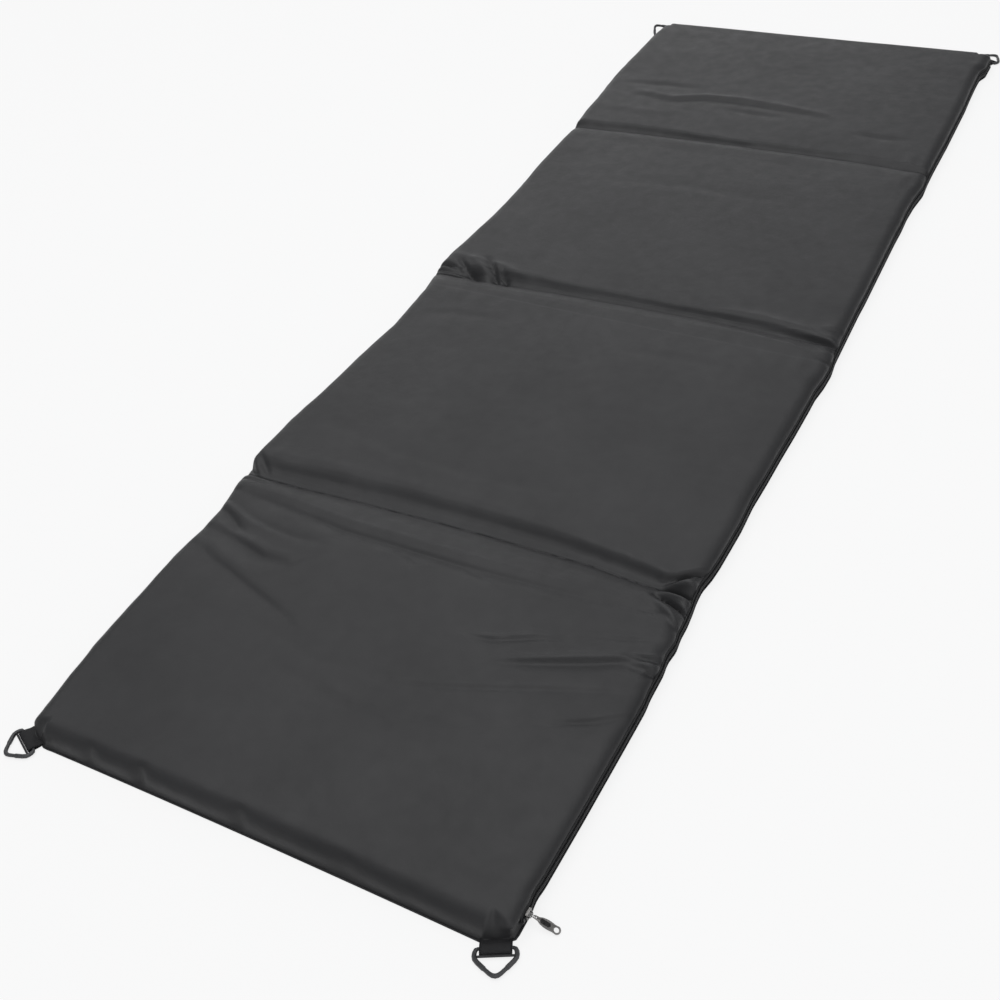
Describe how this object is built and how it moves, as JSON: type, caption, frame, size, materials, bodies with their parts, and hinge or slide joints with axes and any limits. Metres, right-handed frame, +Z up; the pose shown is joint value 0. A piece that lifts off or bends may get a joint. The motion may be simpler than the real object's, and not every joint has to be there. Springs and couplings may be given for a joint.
{
  "type": "folding padded mat",
  "caption": "Long padded landing mat of soft panels joined by sewn fold lines, with a side zip and a triangular ring on a webbing tab at each corner.",
  "frame": {"origin": "middle of the mat's underside, on the floor", "axes": "+X across the mat towards the zip side, +Y along the mat from the near end to the far end, +Z up"},
  "size_m": [0.8836, 2.4748, 0.0379],
  "materials": {
    "cover": "satin coated nylon",
    "base": "matt coated nylon",
    "fold": "satin coated nylon, quilted flat",
    "foam": "open-cell foam",
    "tape": "woven zip tape",
    "coil": "moulded zip coil",
    "gunmetal": "dark plated metal",
    "webbing": "woven webbing",
    "ring": "moulded plastic, semi-gloss"
  },
  "bodies": {
    "panel_1": {"cover_top_1": "cover", "cover_base_1": "base", "foam_pad_1": "foam", "zip_stop_near": "coil", "webbing_tab_near_left": "webbing", "webbing_tab_near_right": "webbing", "zip_tape_upper_panel_1": "tape", "zip_coil_upper_panel_1": "coil", "zip_tape_lower_panel_1": "tape", "zip_coil_lower_panel_1": "coil"},
    "web_1": {"fold_web_1": "fold", "zip_tape_upper_web_1": "tape", "zip_coil_upper_web_1": "coil", "zip_tape_lower_web_1": "tape", "zip_coil_lower_web_1": "coil"},
    "panel_2": {"cover_top_2": "cover", "cover_base_2": "base", "foam_pad_2": "foam", "fold_web_2_near": "fold", "zip_tape_upper_panel_2": "tape", "zip_coil_upper_panel_2": "coil", "zip_tape_lower_panel_2": "tape", "zip_coil_lower_panel_2": "coil"},
    "panel_3": {"cover_top_3": "cover", "cover_base_3": "base", "foam_pad_3": "foam", "fold_web_2_far": "fold", "zip_tape_upper_panel_3": "tape", "zip_coil_upper_panel_3": "coil", "zip_tape_lower_panel_3": "tape", "zip_coil_lower_panel_3": "coil"},
    "web_3": {"fold_web_3": "fold", "zip_tape_upper_web_3": "tape", "zip_coil_upper_web_3": "coil", "zip_tape_lower_web_3": "tape", "zip_coil_lower_web_3": "coil"},
    "panel_4": {"cover_top_4": "cover", "cover_base_4": "base", "foam_pad_4": "foam", "zip_stop_far": "coil", "webbing_tab_far_left": "webbing", "webbing_tab_far_right": "webbing", "zip_tape_upper_panel_4": "tape", "zip_coil_upper_panel_4": "coil", "zip_tape_lower_panel_4": "tape", "zip_coil_lower_panel_4": "coil"},
    "slider": {"zip_slider": "gunmetal"},
    "pull_link": {"zip_pull_link": "gunmetal"},
    "pull": {"zip_pull": "gunmetal"},
    "ring_near_left": {"corner_ring_near_left": "ring"},
    "ring_near_right": {"corner_ring_near_right": "ring"},
    "ring_far_left": {"corner_ring_far_left": "ring"},
    "ring_far_right": {"corner_ring_far_right": "ring"}
  },
  "joints": [
    {"name": "fold_1_near", "type": "hinge", "parent": "panel_1", "child": "web_1", "pos_m": [0, -0.65775, 0.001], "axis": [1, 0, 0], "range_deg": [0, 90]},
    {"name": "fold_1_far", "type": "hinge", "parent": "web_1", "child": "panel_2", "pos_m": [0, -0.58075, 0.001], "axis": [1, 0, 0], "range_deg": [0, 90]},
    {"name": "fold_2", "type": "hinge", "parent": "panel_2", "child": "panel_3", "pos_m": [0, 0, -0.0002], "axis": [-1, 0, 0], "range_deg": [0, 180]},
    {"name": "fold_3_near", "type": "hinge", "parent": "panel_3", "child": "web_3", "pos_m": [0, 0.58075, 0.001], "axis": [1, 0, 0], "range_deg": [0, 90]},
    {"name": "fold_3_far", "type": "hinge", "parent": "web_3", "child": "panel_4", "pos_m": [0, 0.65775, 0.001], "axis": [1, 0, 0], "range_deg": [0, 90]},
    {"name": "zip_run", "type": "slide", "parent": "panel_1", "child": "slider", "axis": [0, -1, 0], "range_m": [-2.3042, 0.0008]},
    {"name": "pull_swivel", "type": "hinge", "parent": "slider", "child": "pull_link", "pos_m": [0.4066, -1.1517, 0.0135], "axis": [0, 0, 1], "range_deg": [-60, 60]},
    {"name": "pull_tilt", "type": "hinge", "parent": "pull_link", "child": "pull", "pos_m": [0.4132, -1.1517, 0.0135], "axis": [0, -1, 0], "range_deg": [-20, 50]},
    {"name": "ring_near_left_swing", "type": "hinge", "parent": "panel_1", "child": "ring_near_left", "pos_m": [-0.38461, -1.20253, 0.00379], "axis": [-0.891, 0.454, 0], "range_deg": [-75, 90]},
    {"name": "ring_near_right_swing", "type": "hinge", "parent": "panel_1", "child": "ring_near_right", "pos_m": [0.38461, -1.20253, 0.00379], "axis": [-0.891, -0.454, 0], "range_deg": [-75, 90]},
    {"name": "ring_far_left_swing", "type": "hinge", "parent": "panel_4", "child": "ring_far_left", "pos_m": [-0.40428, 1.18069, 0.00379], "axis": [0.3584, 0.9336, 0], "range_deg": [-96, 69]},
    {"name": "ring_far_right_swing", "type": "hinge", "parent": "panel_4", "child": "ring_far_right", "pos_m": [0.38461, 1.20253, 0.00379], "axis": [0.891, -0.454, 0], "range_deg": [-75, 90]}
  ],
  "couplings": [
    {"joint": "fold_1_far", "follows": "fold_1_near", "ratio": 1},
    {"joint": "fold_3_far", "follows": "fold_3_near", "ratio": 1}
  ]
}
